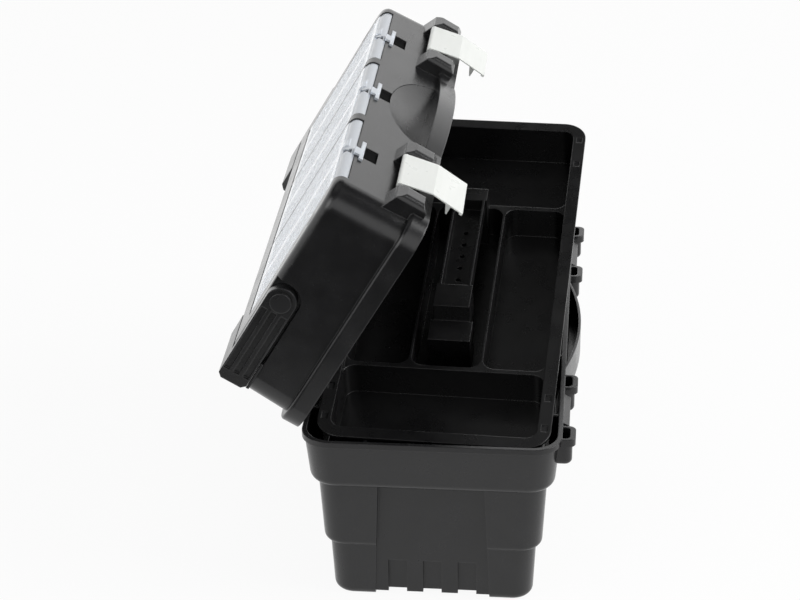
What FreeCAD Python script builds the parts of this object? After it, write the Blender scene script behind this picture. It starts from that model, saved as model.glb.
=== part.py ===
import FreeCAD, Part
import math
import os

# A long plastic tool box with a hinged lid, a lift-out tray and clear organiser covers.
# Millimetres and degrees. X runs along the box, the latches are on the -Y side, Z is up.
# The origin is on the floor under the middle of the base. Left is -X, seen from the front.

# Whole box
LENGTH = 510.0
WIDTH = 244.0
BASE_HEIGHT = 186.0
RIM_CORNER = 28.0
WALL = 3.0
THIN_WALL = 2.5
CUT_OVERRUN = 3.0
RUNNING_CLEARANCE = 0.08

# Collar of the base, the tall band under the rim
COLLAR_HEIGHT = 54.0
COLLAR_DRAFT = 5.0
COLLAR_EDGE = 8.0
RIM_BEAD = 1.5
RIM_BEAD_HEIGHT = 6.0

# Body and feet of the base
BODY_END_INSET = 12.0
BODY_SIDE_INSET = 12.0
BODY_DRAFT = 4.0
BODY_EDGE = 6.0
BODY_CORNER = 22.0
FOOT_HEIGHT = 60.0
FOOT_END_INSET = 19.0
FOOT_SIDE_INSET = 21.5
FOOT_DRAFT = 3.0
FOOT_EDGE = 8.0
FOOT_CORNER = 20.0
FLOOR_THICKNESS = 3.5

# Flat panel with three pockets in each end of the base
PANEL_FROM_SIDE = 71.0
PANEL_SPREAD = 5.0
PANEL_DEPTH = 24.0
PANEL_BOTTOM_LIFT = 5.0
PANEL_LIFT_DEPTH = 30.0
NOTCH_WIDTH = 18.0
NOTCH_COUNT = 3
NOTCH_TOP = 41.0
NOTCH_DEPTH = 6.0

# Latch housings on the front of the base and the lid
LATCH_FROM_END = 83.0
SLOT_WIDTH = 74.0
EAR_WIDTH = 26.0
EAR_REACH = 14.0
EAR_BODY_REACH = 11.0
EAR_LIP_HEIGHT = 8.0
EAR_ROUND = 7.0
EAR_ROOT = 8.0
BASE_EAR_HEIGHT = 28.0
KEEPER_WIDTH = 56.0
KEEPER_REACH = 7.5
KEEPER_TOP = 1.0
KEEPER_SLOPE = 4.0
KEEPER_BOTTOM = 7.5

# Bow in the middle of the front rim
BOW_EAR_SPACE = 9.0
BOW_REACH = 14.5
BOW_HEIGHT = 30.0

# Lid
RIM_GAP = 0.4
LID_HEIGHT = 92.0
LID_OPEN = 59.4
FLANGE_OVER = 3.0
FLANGE_HEIGHT = 18.0
FLANGE_EDGE = 3.0
LID_END_INSET = 4.0
LID_SIDE_INSET = 3.0
LID_DRAFT = 4.0
LID_CORNER = 24.0
LID_EDGE = 9.0
SCOOP_BOW_SPACE = 25.0
SCOOP_TOP = 61.0
SCOOP_BOTTOM = 16.0
SCOOP_DEPTH = 7.0
LID_EAR_BOTTOM = 6.0
LID_EAR_TOP = 40.0
LID_EAR_SLOPE = 10.0
FRAME_SLOT_LENGTH = 14.0
FRAME_SLOT_WIDTH = 3.0
FRAME_SLOT_DEPTH = 2.0
FRAME_SLOT_FROM_END = 21.0
FRAME_SLOT_FROM_FRONT = 52.0

# Handle, its shelf along the back of the lid and its end recesses
SHELF_FROM_TOP = 33.0
SHELF_DEPTH = 46.0
PIVOT_FROM_BACK = 112.0
RECESS_RADIUS = 18.0
RECESS_DEPTH = 13.0
ARM_THICKNESS = 9.0
ARM_HEIGHT = 29.0
ARM_SIDE_GAP = 0.6
BAR_FROM_BACK = 13.0
BAR_DEPTH = 27.0
BAR_TOP_DROP = 0.5
BAR_LIP = 3.0
BAR_CHAMFER = 4.0
CORNER_LENGTH = 75.0
GRIP_DROP = 13.0
GRIP_RUN = 9.0
GROOVE_DEPTH = 2.5
GROOVE_WIDTH = 6.0
GROOVE_PITCH = 10.0
GROOVE_BACK_SPACE = 11.0
GROOVE_PIVOT_SPACE = 3.0
PIVOT_RADIUS = 5.0
PIVOT_CAP_RADIUS = 10.0
PIVOT_CAP_THICKNESS = 2.5
PIVOT_SEAT = 6.0

# Organiser wells in the lid and their clear covers
COVER_COUNT = 3
COVER_FROM_END = 31.5
COVER_SPLIT = 5.5
COVER_THICKNESS = 2.2
COVER_GAP = 0.5
COVER_SIDE_GAP = 0.6
COVER_BACK_FROM_BACK = 72.0
COVER_LIP = 11.0
COVER_LIP_INSET = 4.5
COVER_PIN_RADIUS = 2.0
COVER_PIN_LENGTH = 1.8
COVER_BARREL_RADIUS = 3.4
BARREL_ROOM = 0.5
COVER_BAR_WIDTH = 30.0
COVER_BAR_DROP = 6.0
COVER_STEM_WIDTH = 14.0
COVER_TAB_DROP = 11.0
COVER_TAB_GAP = 0.4
WINDOW_WIDTH = 25.0
WINDOW_FROM_TOP = 16.0
WINDOW_HEIGHT = 17.0
WINDOW_DEPTH = 5.0
WELL_END_SPACE = 5.75
WELL_BACK_FROM_BACK = 84.0
WELL_FROM_FRONT = 18.0
WELL_DEPTH = 26.0
WELL_WALL = 2.0

# Latches
LATCH_WIDTH = 66.0
LATCH_SHEET = 1.2
LATCH_PIN_RADIUS = 2.0
LATCH_PIN_REACH = 6.5
LATCH_PIN_HEIGHT = 36.0
LATCH_PIN_SEAT = 14.0
LATCH_BEND_REACH = 16.0
LATCH_BEND_HEIGHT = 6.0
LATCH_TIP_REACH = 13.2
LATCH_TIP_DROP = 26.5
LATCH_HEM = 2.4
LATCH_HEM_HEIGHT = 3.0
BARB_TOP_DROP = 8.0
BARB_BOTTOM_DROP = 15.0
BARB_REACH = 11.0
BARB_WIDTH = 54.0

# Lid hinges
HINGE_BEHIND = 9.3
HINGE_ABOVE_RIM = 1.0
HINGE_FROM_END = 90.0
HINGE_LUG_RADIUS = 5.4
HINGE_LUG_WIDTH = 10.0
HINGE_MIDDLE_WIDTH = 34.0
HINGE_SIDE_GAP = 0.6
HINGE_PIN_RADIUS = 2.5
HINGE_LUG_FOOT = 24.0
LID_LUG_HEIGHT = 14.0
LUG_RIM_SPACE = 1.5

# Tray
TRAY_TILT = 15.7
TRAY_SKEW = 3.0
TRAY_END_SPACE = 10.8
TRAY_SIDE_SPACE = 10.5
TRAY_HEIGHT = 47.0
TRAY_DROP = 2.0
TRAY_CORNER = 24.0
TRAY_RIM = 13.0
TRAY_WALL = 2.4
TRAY_FLOOR = 2.4
TRAY_BIN_CORNER = 12.0
DIVIDER_THICKNESS = 5.0
DIVIDER_DROP = 8.0
NEAR_DIVIDER_SHARE = 0.2204
FAR_DIVIDER_SHARE = 0.7224
CENTRE_HALF_WIDTH = 34.0
TRAY_BAR_LENGTH = 150.0
BAR_HALF_WIDTH = 16.0
BAR_WALL = 2.5
BAR_FLOOR = 3.0
BAR_RISE = 16.0
BAR_CHANNEL = 14.0
POST_LENGTH = 32.0
POST_HALF_WIDTH = 18.0
STEP_LENGTH = 28.0
STEP_HALF_WIDTH = 21.0
STEP_DROP = 4.0
HOLE_RADIUS = 2.5
HOLE_FROM_POST = 22.0
HOLE_PITCH = 18.0
HOLE_COUNT = 5
TRAY_NOTCH_LENGTH = 9.0
TRAY_NOTCH_WIDTH = 6.0
TRAY_NOTCH_DEPTH = 1.6
TRAY_NOTCH_FIRST = 27.0
TRAY_NOTCH_SECOND = 67.0

# Ribs inside the collar that carry the tray's rim
RIB_THICKNESS = 3.0
RIB_CLEARANCE = 6.4
RIB_SIDE_CLEARANCE = 8.9
RIB_FOOT = 1.0
TRAY_SEAT_GAP = 0.8
RIB_FROM_END = 75.0
RIB_INNER_X = 60.0
RIB_FROM_SIDE = 60.0

# Places worked out from the sizes above
RIM_Z = BASE_HEIGHT + RIM_GAP
LID_TOP_Z = RIM_Z + LID_HEIGHT
BACK_Y = WIDTH / 2
FRONT_Y = -WIDTH / 2
COLLAR_Z = BASE_HEIGHT - COLLAR_HEIGHT
LEDGE_Z = COLLAR_Z + WALL
HINGE_Y = BACK_Y + HINGE_BEHIND
HINGE_Z = BASE_HEIGHT + HINGE_ABOVE_RIM
PIVOT_Y = BACK_Y - PIVOT_FROM_BACK
PIVOT_Z = LID_TOP_Z - BAR_TOP_DROP - ARM_HEIGHT / 2
LATCH_PIN_Y = FRONT_Y - LATCH_PIN_REACH
LATCH_PIN_Z = RIM_Z + LATCH_PIN_HEIGHT
SHELL_INSET = COVER_THICKNESS + COVER_GAP + THIN_WALL
COVER_AXIS_Y = BACK_Y - COVER_BACK_FROM_BACK
WINDOW_TOP_Z = LID_TOP_Z - WINDOW_FROM_TOP
WINDOW_Z = WINDOW_TOP_Z - WINDOW_HEIGHT
COVER_AXIS_Z = LID_TOP_Z - COVER_BARREL_RADIUS
TRAY_HALF_LENGTH = LENGTH / 2 - TRAY_END_SPACE
TRAY_HALF_WIDTH = WIDTH / 2 - TRAY_SIDE_SPACE
TRAY_TOP_Z = BASE_HEIGHT - TRAY_DROP
TRAY_BOTTOM_Z = TRAY_TOP_Z - TRAY_HEIGHT
TRAY_LENGTH = TRAY_HALF_LENGTH + TRAY_HALF_LENGTH
NEAR_DIVIDER = TRAY_LENGTH * NEAR_DIVIDER_SHARE
FAR_DIVIDER = TRAY_LENGTH * FAR_DIVIDER_SHARE
BAR_START = FAR_DIVIDER - TRAY_BAR_LENGTH
HOLE_START = BAR_START + HOLE_FROM_POST
TUB_HALF_LENGTH = TRAY_HALF_LENGTH - TRAY_RIM + TRAY_WALL
TUB_HALF_WIDTH = TRAY_HALF_WIDTH - TRAY_RIM + TRAY_WALL
RECESS_X = LENGTH / 2 - RECESS_DEPTH
PANEL_HALF_WIDTH = WIDTH / 2 - PANEL_FROM_SIDE
NOTCH_PITCH = (PANEL_HALF_WIDTH + PANEL_HALF_WIDTH) / NOTCH_COUNT
LATCH_X = LENGTH / 2 - LATCH_FROM_END
BOW_HALF_LENGTH = LATCH_X - SLOT_WIDTH / 2 - EAR_WIDTH - BOW_EAR_SPACE
SCOOP_HALF_WIDTH = BOW_HALF_LENGTH - SCOOP_BOW_SPACE
FRAME_SLOT_X = LENGTH / 2 - FRAME_SLOT_FROM_END
FRAME_SLOT_FRONT_Y = FRONT_Y + FRAME_SLOT_FROM_FRONT
COVER_PITCH = (LENGTH - COVER_FROM_END - COVER_FROM_END) / COVER_COUNT
COVER_LENGTH = COVER_PITCH - COVER_SPLIT
WELL_LENGTH = COVER_LENGTH - WELL_END_SPACE - WELL_END_SPACE
HINGE_X = LENGTH / 2 - HINGE_FROM_END
RIB_OUTER_X = LENGTH / 2 - RIB_FROM_END
RIB_END_Y = WIDTH / 2 - RIB_FROM_SIDE

X_AXIS = FreeCAD.Vector(1, 0, 0)
Y_AXIS = FreeCAD.Vector(0, 1, 0)
Z_AXIS = FreeCAD.Vector(0, 0, 1)


# Helpers
def vec(x, y, z):
    return FreeCAD.Vector(x, y, z)


def box(x0, x1, y0, y1, z0, z1):
    return Part.makeBox(x1 - x0, y1 - y0, z1 - z0, vec(x0, y0, z0))


def outline(half_x, half_y, radius, z):
    """A rounded rectangle about the Z axis, as a closed wire."""
    a = half_x - radius
    b = half_y - radius
    diagonal = radius * math.sqrt(0.5)
    corners = [(a, b, 1, 1), (-a, b, -1, 1), (-a, -b, -1, -1), (a, -b, 1, -1)]
    edges = []
    last = None
    for cx, cy, sx, sy in corners:
        on_x = vec(cx + sx * radius, cy, z)
        on_y = vec(cx, cy + sy * radius, z)
        middle = vec(cx + sx * diagonal, cy + sy * diagonal, z)
        first, second = (on_x, on_y) if sx == sy else (on_y, on_x)
        if last is not None:
            edges.append(Part.makeLine(last, first))
        edges.append(Part.Arc(first, middle, second).toShape())
        last = second
    edges.append(Part.makeLine(last, edges[0].Vertexes[0].Point))
    return Part.Wire(edges)


def taper(low, high):
    """A solid between two rounded outlines (half x, half y, radius, z)."""
    return Part.makeLoft([outline(*low), outline(*high)], True, True)


def edges_at(shape, z):
    """The edges that lie in the level plane at height z."""
    found = []
    for edge in shape.Edges:
        box_of = edge.BoundBox
        if abs(box_of.ZMin - z) < RUNNING_CLEARANCE and abs(box_of.ZMax - z) < RUNNING_CLEARANCE:
            found.append(edge)
    return found


def softened(shape, radius, z):
    return shape.makeFillet(radius, edges_at(shape, z))


def along_x(points, x0, x1):
    """An outline of (y, z) points drawn along X from x0 to x1."""
    loop = [vec(x0, y, z) for y, z in points]
    face = Part.Face(Part.makePolygon(loop + loop[:1]))
    return face.extrude(vec(x1 - x0, 0, 0))


def rod_x(radius, x0, x1, y, z):
    return Part.makeCylinder(radius, x1 - x0, vec(x0, y, z), X_AXIS)


def mirrored(shape):
    return shape.mirror(vec(0, 0, 0), X_AXIS)


def both_ends(shape):
    return [shape, mirrored(shape)]


def upright(x0, x1, y0, y1, z0, z1, radius):
    """A block with its four upright edges rounded."""
    middle = vec((x0 + x1) / 2, (y0 + y1) / 2, 0)
    half_x = (x1 - x0) / 2
    half_y = (y1 - y0) / 2
    wire = outline(half_x, half_y, radius, z0)
    block = Part.Face(wire).extrude(vec(0, 0, z1 - z0))
    return block.translated(middle)


def bow(reach, half_length, z0, z1):
    """The bowed segment in front of the rim, between two levels."""
    start = vec(-half_length, FRONT_Y, z0)
    middle = vec(0, FRONT_Y - reach, z0)
    end = vec(half_length, FRONT_Y, z0)
    inner_end = vec(half_length, FRONT_Y + EAR_ROOT, z0)
    inner_start = vec(-half_length, FRONT_Y + EAR_ROOT, z0)
    edges = [
        Part.Arc(start, middle, end).toShape(),
        Part.makeLine(end, inner_end),
        Part.makeLine(inner_end, inner_start),
        Part.makeLine(inner_start, start),
    ]
    return Part.Face(Part.Wire(edges)).extrude(vec(0, 0, z1 - z0))


def ear_places():
    """The X ranges of the four ears that flank the two latches."""
    places = []
    for centre in (-LATCH_X, LATCH_X):
        for side in (-1, 1):
            middle = centre + side * (SLOT_WIDTH + EAR_WIDTH) / 2
            places.append((middle - EAR_WIDTH / 2, middle + EAR_WIDTH / 2))
    return places


# Base
def base_level(end_inset, side_inset, corner, z):
    return (LENGTH / 2 - end_inset, WIDTH / 2 - side_inset, corner, z)


def base_block(inset):
    """The stepped form of the base, moved inwards on all sides by inset."""
    body_z = COLLAR_Z + inset
    foot_z = FOOT_HEIGHT + inset
    body_end = BODY_END_INSET + inset
    body_side = BODY_SIDE_INSET + inset
    foot_end = FOOT_END_INSET + inset
    foot_side = FOOT_SIDE_INSET + inset
    foot_low = base_level(foot_end + FOOT_DRAFT, foot_side + FOOT_DRAFT, FOOT_CORNER, 0)
    foot_high = base_level(foot_end, foot_side, FOOT_CORNER, foot_z + CUT_OVERRUN)
    body_low = base_level(body_end + BODY_DRAFT, body_side + BODY_DRAFT, BODY_CORNER, foot_z)
    body_high = base_level(body_end, body_side, BODY_CORNER, body_z + CUT_OVERRUN)
    collar_low = base_level(COLLAR_DRAFT + inset, COLLAR_DRAFT + inset, RIM_CORNER - inset, body_z)
    collar_high = base_level(inset, inset, RIM_CORNER - inset, BASE_HEIGHT)
    return taper(foot_low, foot_high), taper(body_low, body_high), taper(collar_low, collar_high)


def tray_ribs():
    """Upright ribs between the ledge and the underside of the seated tray's rim."""
    low = LEDGE_Z - RIB_FOOT
    high = TRAY_TOP_Z - TRAY_WALL - TRAY_SEAT_GAP
    side_y = TUB_HALF_WIDTH + RIB_SIDE_CLEARANCE
    end_x = TUB_HALF_LENGTH + RIB_CLEARANCE
    half = RIB_THICKNESS / 2
    ribs = []
    for x in (RIB_INNER_X, RIB_OUTER_X):
        ribs += both_ends(box(x - half, x + half, side_y, WIDTH / 2, low, high))
        ribs += both_ends(box(x - half, x + half, -WIDTH / 2, -side_y, low, high))
    for y in (-RIB_END_Y, RIB_END_Y):
        ribs += both_ends(box(end_x, LENGTH / 2, y - half, y + half, low, high))
    return ribs


def make_base():
    foot, body, collar = base_block(0)
    foot = softened(foot, FOOT_EDGE, 0)
    body = softened(body, BODY_EDGE, FOOT_HEIGHT)
    collar = softened(collar, COLLAR_EDGE, COLLAR_Z)
    bead_low = base_level(-RIM_BEAD, -RIM_BEAD, RIM_CORNER, BASE_HEIGHT - RIM_BEAD_HEIGHT)
    bead_high = base_level(-RIM_BEAD, -RIM_BEAD, RIM_CORNER, BASE_HEIGHT)
    outer = foot.fuse([body, collar, taper(bead_low, bead_high)])

    panel_x = LENGTH / 2 - PANEL_DEPTH
    far_x = LENGTH / 2
    panel_foot = PANEL_HALF_WIDTH + PANEL_SPREAD
    panel_profile = [
        (-PANEL_HALF_WIDTH, COLLAR_Z),
        (PANEL_HALF_WIDTH, COLLAR_Z),
        (panel_foot, 0),
        (panel_foot, -CUT_OVERRUN),
        (-panel_foot, -CUT_OVERRUN),
        (-panel_foot, 0),
    ]
    panel = along_x(panel_profile, panel_x, far_x)
    lift_x = panel_x - PANEL_LIFT_DEPTH
    lift = box(lift_x, far_x, -panel_foot, panel_foot, -CUT_OVERRUN, PANEL_BOTTOM_LIFT)
    cuts = both_ends(panel) + both_ends(lift)
    for number in range(NOTCH_COUNT):
        y0 = number * NOTCH_PITCH + NOTCH_PITCH / 2 - PANEL_HALF_WIDTH - NOTCH_WIDTH / 2
        notch = box(panel_x - NOTCH_DEPTH, far_x, y0, y0 + NOTCH_WIDTH, -CUT_OVERRUN, NOTCH_TOP)
        cuts += both_ends(notch)
    outer = outer.cut(cuts)

    foot_room, body_room, collar_room = base_block(WALL)
    room = foot_room.fuse([body_room, collar_room])
    room = room.cut(box(-LENGTH, LENGTH, -WIDTH, WIDTH, -CUT_OVERRUN, FLOOR_THICKNESS))
    panel_back = panel_x - WALL
    behind_half = panel_foot + WALL
    behind_panel = box(panel_back, far_x, -behind_half, behind_half, 0, LEDGE_Z)
    notch_half = PANEL_HALF_WIDTH - NOTCH_PITCH / 2 + NOTCH_WIDTH / 2 + WALL
    behind_notches = box(panel_back - NOTCH_DEPTH, far_x, -notch_half, notch_half, 0, NOTCH_TOP + WALL)
    lift_top = PANEL_BOTTOM_LIFT + FLOOR_THICKNESS
    over_lift = box(lift_x - WALL, far_x, -behind_half, behind_half, 0, lift_top)
    room = room.cut(both_ends(behind_panel) + both_ends(behind_notches) + both_ends(over_lift))
    room = room.cut(tray_ribs())
    room_lid = taper(
        base_level(WALL, WALL, RIM_CORNER - WALL, BASE_HEIGHT),
        base_level(WALL, WALL, RIM_CORNER - WALL, BASE_HEIGHT + CUT_OVERRUN),
    )

    added = []
    hollows = [room, room_lid]
    ear_z = BASE_HEIGHT - BASE_EAR_HEIGHT
    ear_front = FRONT_Y - EAR_REACH
    body_front = FRONT_Y - EAR_BODY_REACH
    for x0, x1 in ear_places():
        body = upright(x0, x1, body_front, FRONT_Y + EAR_ROOT, ear_z, BASE_HEIGHT, EAR_ROUND)
        added.append(softened(body, EAR_ROUND - THIN_WALL, ear_z))
        lip_z = BASE_HEIGHT - EAR_LIP_HEIGHT
        added.append(upright(x0, x1, ear_front, FRONT_Y + EAR_ROOT, lip_z, BASE_HEIGHT, EAR_ROUND))
        hollows.append(
            upright(
                x0 + THIN_WALL, x1 - THIN_WALL, body_front + THIN_WALL, FRONT_Y + EAR_ROOT - THIN_WALL,
                ear_z + WALL, BASE_HEIGHT + CUT_OVERRUN, EAR_ROUND - THIN_WALL,
            ).cut(box(-LENGTH, LENGTH, FRONT_Y - RIM_BEAD, BACK_Y, 0, LID_TOP_Z))
        )
    bow_z = BASE_HEIGHT - BOW_HEIGHT
    bow_half = BOW_HALF_LENGTH - EAR_ROOT
    added.append(bow(BOW_REACH, BOW_HALF_LENGTH, bow_z, BASE_HEIGHT))
    bow_room = bow(BOW_REACH - THIN_WALL, bow_half, bow_z + WALL, BASE_HEIGHT + CUT_OVERRUN)
    hollows.append(bow_room.cut(box(-LENGTH, LENGTH, FRONT_Y - RIM_BEAD, BACK_Y, 0, LID_TOP_Z)))
    keeper = [
        (FRONT_Y + EAR_ROOT, BASE_HEIGHT - KEEPER_TOP),
        (FRONT_Y, BASE_HEIGHT - KEEPER_TOP),
        (FRONT_Y - KEEPER_REACH, BASE_HEIGHT - KEEPER_TOP - KEEPER_SLOPE),
        (FRONT_Y - KEEPER_REACH, BASE_HEIGHT - KEEPER_BOTTOM),
        (FRONT_Y + EAR_ROOT, BASE_HEIGHT - KEEPER_BOTTOM),
    ]
    for centre in (-LATCH_X, LATCH_X):
        added.append(along_x(keeper, centre - KEEPER_WIDTH / 2, centre + KEEPER_WIDTH / 2))

    foot_z = HINGE_Z - HINGE_LUG_FOOT
    for x0, x1 in base_lug_places():
        web = along_x(
            [
                (BACK_Y - EAR_ROOT, foot_z),
                (BACK_Y, foot_z),
                (HINGE_Y + HINGE_LUG_RADIUS, HINGE_Z),
                (HINGE_Y - HINGE_LUG_RADIUS, HINGE_Z - LUG_RIM_SPACE),
                (BACK_Y, BASE_HEIGHT - LUG_RIM_SPACE),
                (BACK_Y - EAR_ROOT, BASE_HEIGHT - LUG_RIM_SPACE),
            ],
            x0,
            x1,
        )
        added += [web, rod_x(HINGE_LUG_RADIUS, x0, x1, HINGE_Y, HINGE_Z)]
    bores = []
    for x0, x1 in hinge_places():
        bores.append(rod_x(HINGE_PIN_RADIUS, x0, x1, HINGE_Y, HINGE_Z))
    return outer.fuse(added).cut(hollows + bores).removeSplitter()


def hinge_places():
    """The X ranges of the two hinge pins."""
    half = HINGE_MIDDLE_WIDTH / 2 + HINGE_SIDE_GAP + HINGE_LUG_WIDTH
    return [(centre - half, centre + half) for centre in (-HINGE_X, HINGE_X)]


def base_lug_places():
    """The X ranges of the base's hinge lugs, two to each hinge."""
    places = []
    for x0, x1 in hinge_places():
        places.append((x0, x0 + HINGE_LUG_WIDTH))
        places.append((x1 - HINGE_LUG_WIDTH, x1))
    return places


# Lid, drawn closed and then swung open about the hinge
def lid_form(inset):
    """The upper part of the lid, moved inwards on all sides by inset."""
    low_x = LENGTH / 2 - LID_END_INSET - inset
    low_y = WIDTH / 2 - LID_SIDE_INSET - inset
    low = (low_x, low_y, LID_CORNER - inset, RIM_Z)
    high = (low_x - LID_DRAFT, low_y - LID_DRAFT, LID_CORNER - inset, LID_TOP_Z - inset)
    return softened(taper(low, high), LID_EDGE - inset, LID_TOP_Z - inset)


def handle_room(gap):
    """The shelf along the back and the two end recesses that take the handle."""
    shelf_y = BACK_Y - SHELF_DEPTH - gap
    shelf_z = LID_TOP_Z - SHELF_FROM_TOP - gap
    room = box(-LENGTH, LENGTH, shelf_y, WIDTH, shelf_z, LID_TOP_Z + LID_HEIGHT)
    x0 = RECESS_X - gap
    x1 = LENGTH
    radius = RECESS_RADIUS + gap
    recess = rod_x(radius, x0, x1, PIVOT_Y, PIVOT_Z)
    above = box(x0, x1, PIVOT_Y - radius, WIDTH, PIVOT_Z, LID_TOP_Z + LID_HEIGHT)
    behind = box(x0, x1, PIVOT_Y, WIDTH, PIVOT_Z - radius, LID_TOP_Z + LID_HEIGHT)
    end = recess.fuse([above, behind])
    return room.fuse(both_ends(end))


def scoop(gap):
    """The half-ellipse finger scoop in the middle of the lid's front."""
    height = SCOOP_TOP - SCOOP_BOTTOM
    depth = FRONT_Y + LID_SIDE_INSET + LID_DRAFT + SCOOP_DEPTH + gap
    circle = Part.makeCylinder(height + gap, depth + WIDTH, vec(0, -WIDTH, 0), Y_AXIS)
    stretch = FreeCAD.Matrix()
    stretch.A11 = (SCOOP_HALF_WIDTH + gap) / (height + gap)
    round_top = circle.transformGeometry(stretch).translated(vec(0, 0, RIM_Z + SCOOP_BOTTOM))
    below = box(-LENGTH, LENGTH, -WIDTH, WIDTH, 0, RIM_Z + SCOOP_BOTTOM - gap)
    return round_top.cut(below)


def cover_centres():
    first = COVER_PITCH / 2 - COVER_COUNT * COVER_PITCH / 2
    return [first + number * COVER_PITCH for number in range(COVER_COUNT)]


def cover_zone(centre, side_gap, lip, back_y):
    """The block that a cover takes out of the lid's skin, narrower at the front edge."""
    half = COVER_LENGTH / 2 + side_gap
    lip_half = half - COVER_LIP_INSET
    edge_y = FRONT_Y + LID_SIDE_INSET + LID_DRAFT + LID_EDGE
    top = LID_TOP_Z + CUT_OVERRUN
    plate = box(centre - half, centre + half, edge_y - side_gap, back_y, LID_TOP_Z - lip, top)
    edge = box(centre - lip_half, centre + lip_half, -WIDTH, edge_y, LID_TOP_Z - lip, top)
    return plate.fuse(edge)


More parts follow.
